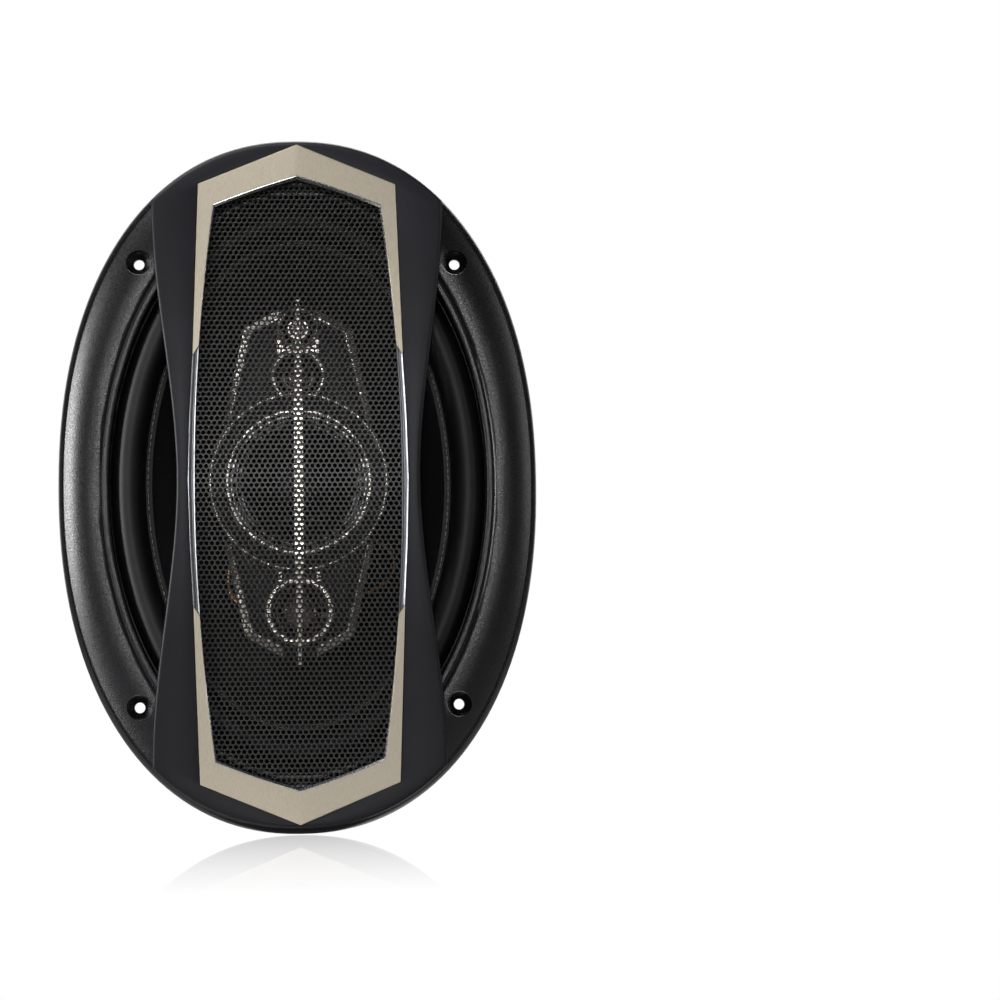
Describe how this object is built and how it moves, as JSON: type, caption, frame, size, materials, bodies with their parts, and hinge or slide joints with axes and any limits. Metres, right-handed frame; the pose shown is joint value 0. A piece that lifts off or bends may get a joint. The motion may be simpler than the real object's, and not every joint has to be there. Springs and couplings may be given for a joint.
{
  "type": "coaxial car speaker",
  "caption": "Oval multi-driver coaxial car speaker: woofer, centre bridge with midrange and tweeters, magnet motor, terminals and a lift-off grille.",
  "frame": {"origin": "on the speaker's axis, in the plane of the panel it is mounted on (the rear face of the flange)", "axes": "+Z along the long axis, +X to the right seen from the front, -Y the way the speaker fires"},
  "size_m": [0.181, 0.1122, 0.264],
  "materials": {
    "basket_paint": "satin",
    "steel": "satin",
    "ferrite": "matte",
    "surround_rubber": "satin",
    "cone_pulp": "matte",
    "gasket_felt": "matte",
    "stitching_thread": "matte",
    "former_kapton": "satin",
    "copper": "satin",
    "spider_cloth": "matte",
    "bridge_plastic": "matte",
    "silver_trim": "satin",
    "gloss_black": "gloss",
    "soft_dome": "matte",
    "small_magnet": "satin",
    "dome_cup": "satin",
    "dome_metal": "satin",
    "lead_cloth": "matte",
    "board": "satin",
    "tinned_brass": "satin",
    "capacitor_sleeve": "satin",
    "grille_plastic": "satin",
    "grille_mesh_paint": "satin",
    "champagne": "satin",
    "blade_grey": "gloss"
  },
  "bodies": {
    "chassis": {"basket": "basket_paint", "top_plate": "steel", "t_yoke": "steel", "post_bolt": "steel", "magnet": "ferrite", "surround": "surround_rubber", "midrange_surround": "surround_rubber", "surround_gasket": "gasket_felt", "spider": "spider_cloth", "bridge_post": "bridge_plastic", "bridge_rear_cup": "bridge_plastic", "bridge_body": "bridge_plastic", "midrange_ring": "bridge_plastic", "spine_trim": "silver_trim", "side_rail_upper_right": "silver_trim", "side_rail_lower_right": "silver_trim", "side_rail_upper_left": "silver_trim", "side_rail_lower_left": "silver_trim", "midrange_outer_trim": "silver_trim", "midrange_bezel": "silver_trim", "midrange_frame": "gloss_black", "midrange_magnet": "small_magnet", "tweeter_cup_top": "dome_cup", "tweeter_cup_upper": "dome_cup", "tweeter_cup_lower": "dome_cup", "bridge_lead_right": "lead_cloth", "bridge_lead_left": "lead_cloth", "tinsel_lead_positive": "lead_cloth", "tinsel_lead_negative": "lead_cloth", "terminal_board": "board", "terminal_positive": "tinned_brass", "terminal_negative": "tinned_brass", "capacitor_midrange": "capacitor_sleeve", "capacitor_tweeter": "capacitor_sleeve"},
    "woofer_cone": {"cone": "cone_pulp", "edge_stitching": "stitching_thread", "voice_coil_former": "former_kapton", "voice_coil": "copper"},
    "midrange": {"midrange_cone": "gloss_black", "midrange_dust_cap": "soft_dome"},
    "dome_top": {"tweeter_dome_top": "dome_metal"},
    "dome_upper": {"tweeter_dome_upper": "dome_metal"},
    "dome_lower": {"tweeter_dome_lower": "dome_metal"},
    "grille": {"grille_ring": "grille_plastic", "grille_bridge": "grille_plastic", "grille_mesh": "grille_mesh_paint", "chevron_upper": "champagne", "chevron_lower": "champagne", "waist_blade_right": "blade_grey", "waist_blade_left": "blade_grey"}
  },
  "joints": [
    {"name": "cone_stroke", "type": "slide", "parent": "chassis", "child": "woofer_cone", "axis": [0, -1, 0], "range_m": [-0.006, 0.006], "stiffness_N_per_m": 1200, "deforming": ["surround", "spider", "tinsel_lead_positive", "tinsel_lead_negative"]},
    {"name": "midrange_stroke", "type": "slide", "parent": "chassis", "child": "midrange", "axis": [0, -1, 0], "range_m": [-0.001, 0.001], "stiffness_N_per_m": 1000, "deforming": ["midrange_surround"]},
    {"name": "dome_top_stroke", "type": "slide", "parent": "chassis", "child": "dome_top", "axis": [0, -1, 0], "range_m": [-0.0003, 0.0003], "stiffness_N_per_m": 2000},
    {"name": "dome_upper_stroke", "type": "slide", "parent": "chassis", "child": "dome_upper", "axis": [0, -1, 0], "range_m": [-0.0003, 0.0003], "stiffness_N_per_m": 2000},
    {"name": "dome_lower_stroke", "type": "slide", "parent": "chassis", "child": "dome_lower", "axis": [0, -1, 0], "range_m": [-0.0003, 0.0003], "stiffness_N_per_m": 2000},
    {"name": "grille_removal", "type": "slide", "parent": "chassis", "child": "grille", "axis": [0, -1, 0], "range_m": [0, 0.2]}
  ]
}
